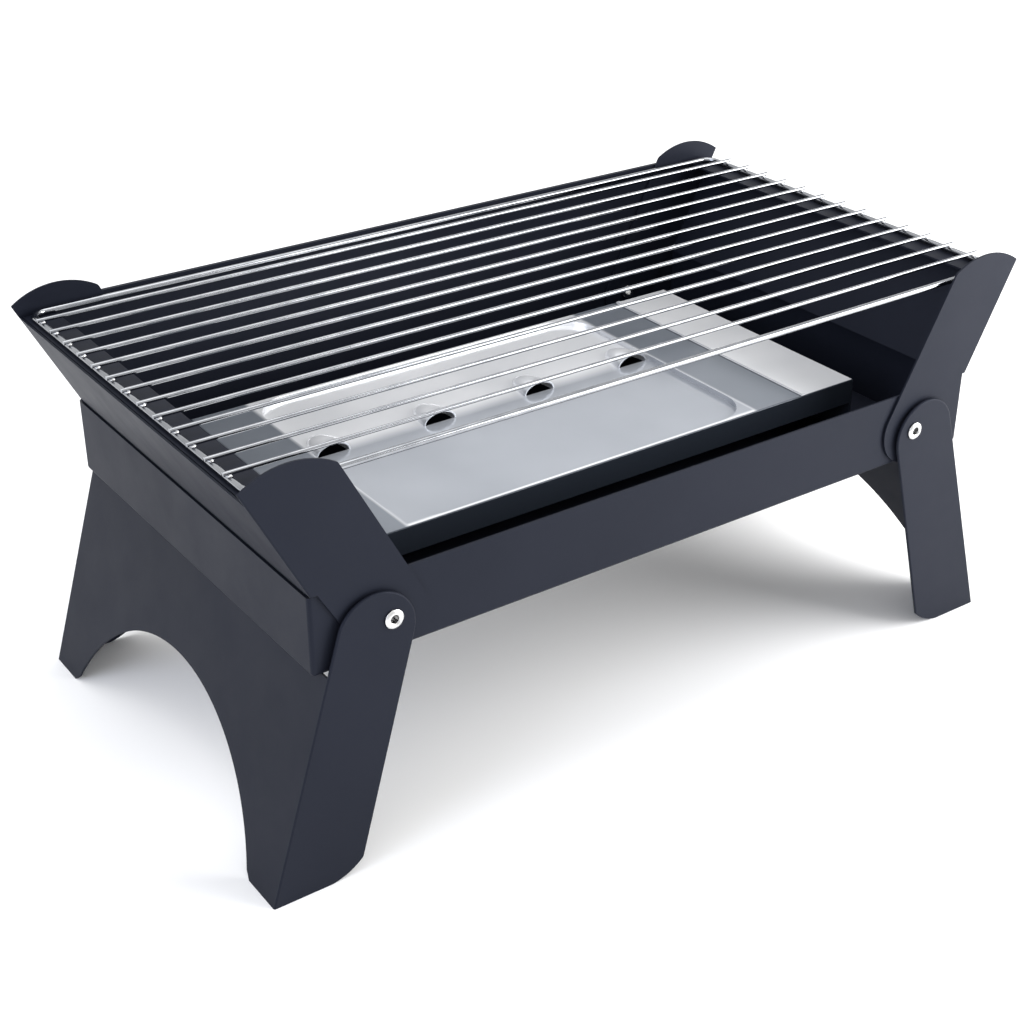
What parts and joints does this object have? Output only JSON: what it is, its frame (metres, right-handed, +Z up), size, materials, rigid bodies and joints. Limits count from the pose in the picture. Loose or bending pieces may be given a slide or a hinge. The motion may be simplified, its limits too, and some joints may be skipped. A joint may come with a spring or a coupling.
{
  "type": "portable tabletop charcoal grill",
  "caption": "Tabletop charcoal grill of folded black sheet steel: trough with high back wall, folding wings and legs, wire grate and bright charcoal tray.",
  "frame": {"origin": "on the ground plane under the middle of the grill, centred between the ends and between front and back", "axes": "+Z up, +X along the long side, -Y towards the low front wall of the trough"},
  "size_m": [0.433, 0.239, 0.2061],
  "materials": {
    "black_sheet": "satin black powder coat",
    "bright_steel": "bright, nearly mirror-like sheet",
    "chrome_wire": "bright chrome plating",
    "rivet_steel": "bright plated steel"
  },
  "bodies": {
    "trough": {"fire_box": "black_sheet", "rivet_front_left": "rivet_steel", "washer_front_left": "rivet_steel", "rivet_front_right": "rivet_steel", "washer_front_right": "rivet_steel", "rivet_rear_left": "rivet_steel", "washer_rear_left": "rivet_steel", "rivet_rear_right": "rivet_steel", "washer_rear_right": "rivet_steel"},
    "wing_left": {"wing_left": "black_sheet"},
    "wing_right": {"wing_right": "black_sheet"},
    "leg_left": {"leg_left": "black_sheet"},
    "leg_right": {"leg_right": "black_sheet"},
    "tray": {"charcoal_tray": "bright_steel"},
    "grate": {"grate_frame": "chrome_wire", "grate_rod_01": "chrome_wire", "grate_rod_02": "chrome_wire", "grate_rod_03": "chrome_wire", "grate_rod_04": "chrome_wire", "grate_rod_05": "chrome_wire", "grate_rod_06": "chrome_wire", "grate_rod_07": "chrome_wire", "grate_rod_08": "chrome_wire", "grate_rod_09": "chrome_wire", "grate_rod_10": "chrome_wire", "grate_rod_11": "chrome_wire", "grate_rod_12": "chrome_wire", "grate_rod_13": "chrome_wire"}
  },
  "joints": [
    {"name": "leg_left_fold", "type": "hinge", "parent": "trough", "child": "leg_left", "pos_m": [-0.152, 0, 0.123], "axis": [0, -1, 0], "range_deg": [0, 107.2]},
    {"name": "leg_right_fold", "type": "hinge", "parent": "trough", "child": "leg_right", "pos_m": [0.152, 0, 0.123], "axis": [0, 1, 0], "range_deg": [0, 107.2]},
    {"name": "wing_left_fold", "type": "hinge", "parent": "trough", "child": "wing_left", "pos_m": [-0.152, 0, 0.123], "axis": [0, 1, 0], "range_deg": [0, 108]},
    {"name": "wing_right_fold", "type": "hinge", "parent": "trough", "child": "wing_right", "pos_m": [0.152, 0, 0.123], "axis": [0, -1, 0], "range_deg": [0, 108]},
    {"name": "grate_lift", "type": "slide", "parent": "trough", "child": "grate", "axis": [0, 0, 1], "range_m": [0, 0.1357]},
    {"name": "tray_slide", "type": "slide", "parent": "trough", "child": "tray", "axis": [1, 0, 0], "range_m": [0, 0.033]}
  ],
  "couplings": [
    {"joint": "wing_right_fold", "follows": "wing_left_fold", "ratio": 1},
    {"joint": "grate_lift", "follows": "wing_left_fold", "m_per_rad": 0.072}
  ]
}
